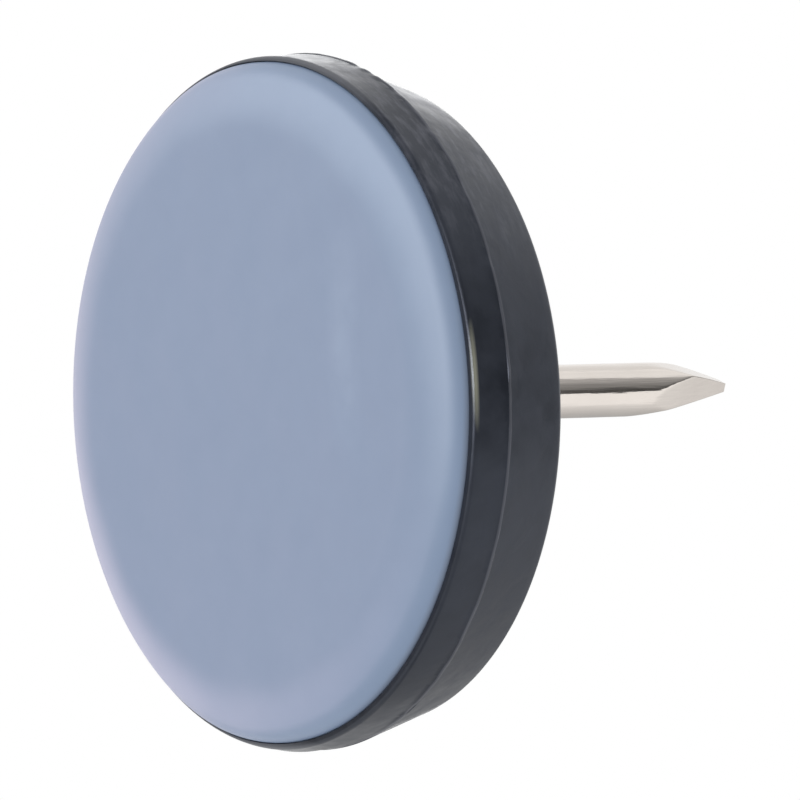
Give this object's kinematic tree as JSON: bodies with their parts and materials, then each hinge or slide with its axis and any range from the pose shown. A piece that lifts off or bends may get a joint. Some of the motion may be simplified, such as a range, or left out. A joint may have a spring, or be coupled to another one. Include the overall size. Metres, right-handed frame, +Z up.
{
  "type": "nail-on furniture glide",
  "caption": "Round furniture glide: blue-grey PTFE sliding pad in a black moulded rubber base, with a plated steel nail standing out of its back to drive into a chair leg.",
  "frame": {"origin": "centre of the sliding face, on the floor that the glide stands on", "axes": "+Z up the nail's axis, from the sliding face to the nail's point"},
  "size_m": [0.025, 0.025, 0.0213],
  "materials": {
    "ptfe": "blue-grey PTFE, satin",
    "rubber": "black moulded rubber, semi-matte",
    "plated_steel": "bright nickel plate on drawn wire"
  },
  "bodies": {
    "root": {"glide_pad": "ptfe", "base": "rubber", "nail": "plated_steel"}
  },
  "joints": []
}
